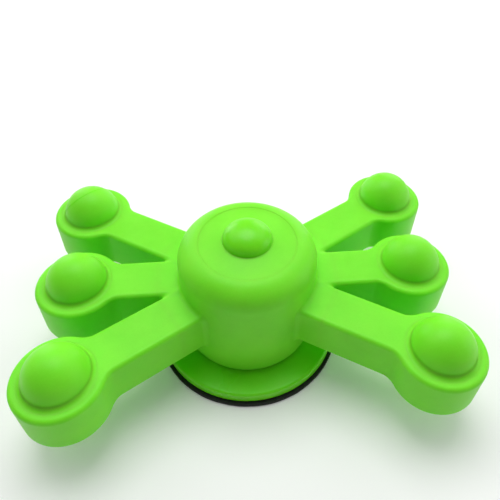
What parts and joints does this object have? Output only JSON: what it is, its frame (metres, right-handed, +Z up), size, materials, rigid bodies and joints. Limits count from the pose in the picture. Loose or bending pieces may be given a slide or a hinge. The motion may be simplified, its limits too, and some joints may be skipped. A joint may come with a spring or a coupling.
{
  "type": "vibration damper",
  "caption": "Stick-on vibration damper: ball-tipped elastomer arms round a drum hub, on a flanged foot with an adhesive pad.",
  "frame": {"origin": "middle of the adhesive pad's underside, the face that is stuck down", "axes": "+Z up out of the surface it is stuck to; the two sides' arms reach out along +X and -X"},
  "size_m": [0.0642, 0.0438, 0.0236],
  "materials": {
    "satin_elastomer": "satin, soft moulded elastomer",
    "glossy_elastomer": "smooth, slightly glossy moulded elastomer",
    "adhesive_tape": "matt black double-sided tape"
  },
  "bodies": {
    "foot": {"base_foot": "glossy_elastomer", "adhesive_pad": "adhesive_tape"},
    "hub": {"hub": "satin_elastomer", "top_disc": "satin_elastomer", "centre_nub": "glossy_elastomer"},
    "arm_right_front": {"arm_right_front": "satin_elastomer"},
    "ball_right_front": {"ball_right_front": "satin_elastomer"},
    "arm_right_middle": {"arm_right_middle": "satin_elastomer"},
    "ball_right_middle": {"ball_right_middle": "satin_elastomer"},
    "arm_right_rear": {"arm_right_rear": "satin_elastomer"},
    "ball_right_rear": {"ball_right_rear": "satin_elastomer"},
    "arm_left_rear": {"arm_left_rear": "satin_elastomer"},
    "ball_left_rear": {"ball_left_rear": "satin_elastomer"},
    "arm_left_middle": {"arm_left_middle": "satin_elastomer"},
    "ball_left_middle": {"ball_left_middle": "satin_elastomer"},
    "arm_left_front": {"arm_left_front": "satin_elastomer"},
    "ball_left_front": {"ball_left_front": "satin_elastomer"}
  },
  "joints": [
    {"name": "hub_rock", "type": "hinge", "parent": "foot", "child": "hub", "pos_m": [0, 0, 0.00278], "axis": [1, 0, 0], "range_deg": [-3, 3], "stiffness_Nm_per_rad": 0.5},
    {"name": "flex_right_front", "type": "hinge", "parent": "hub", "child": "arm_right_front", "pos_m": [0.01112, -0.00673, 0.01045], "axis": [-0.5174, -0.8557, 0], "range_deg": [-14, 20], "stiffness_Nm_per_rad": 0.03},
    {"name": "flex_right_middle", "type": "hinge", "parent": "hub", "child": "arm_right_middle", "pos_m": [0.013, 0, 0.01045], "axis": [0, -1, 0], "range_deg": [-14, 20], "stiffness_Nm_per_rad": 0.03},
    {"name": "flex_right_rear", "type": "hinge", "parent": "hub", "child": "arm_right_rear", "pos_m": [0.01112, 0.00673, 0.01045], "axis": [0.5174, -0.8557, 0], "range_deg": [-14, 20], "stiffness_Nm_per_rad": 0.03},
    {"name": "flex_left_rear", "type": "hinge", "parent": "hub", "child": "arm_left_rear", "pos_m": [-0.01112, 0.00673, 0.01045], "axis": [0.5174, 0.8557, 0], "range_deg": [-14, 20], "stiffness_Nm_per_rad": 0.03},
    {"name": "flex_left_middle", "type": "hinge", "parent": "hub", "child": "arm_left_middle", "pos_m": [-0.013, 0, 0.01045], "axis": [0, 1, 0], "range_deg": [-14, 20], "stiffness_Nm_per_rad": 0.03},
    {"name": "flex_left_front", "type": "hinge", "parent": "hub", "child": "arm_left_front", "pos_m": [-0.01112, -0.00673, 0.01045], "axis": [-0.5174, 0.8557, 0], "range_deg": [-14, 20], "stiffness_Nm_per_rad": 0.03},
    {"name": "turn_right_front", "type": "hinge", "parent": "arm_right_front", "child": "ball_right_front", "pos_m": [0.0258, -0.0156, 0.0138], "axis": [0, 0, 1], "continuous": true},
    {"name": "turn_right_middle", "type": "hinge", "parent": "arm_right_middle", "child": "ball_right_middle", "pos_m": [0.0258, 0, 0.0138], "axis": [0, 0, 1], "continuous": true},
    {"name": "turn_right_rear", "type": "hinge", "parent": "arm_right_rear", "child": "ball_right_rear", "pos_m": [0.0258, 0.0156, 0.0138], "axis": [0, 0, 1], "continuous": true},
    {"name": "turn_left_rear", "type": "hinge", "parent": "arm_left_rear", "child": "ball_left_rear", "pos_m": [-0.0258, 0.0156, 0.0138], "axis": [0, 0, 1], "continuous": true},
    {"name": "turn_left_middle", "type": "hinge", "parent": "arm_left_middle", "child": "ball_left_middle", "pos_m": [-0.0258, 0, 0.0138], "axis": [0, 0, 1], "continuous": true},
    {"name": "turn_left_front", "type": "hinge", "parent": "arm_left_front", "child": "ball_left_front", "pos_m": [-0.0258, -0.0156, 0.0138], "axis": [0, 0, 1], "continuous": true}
  ]
}
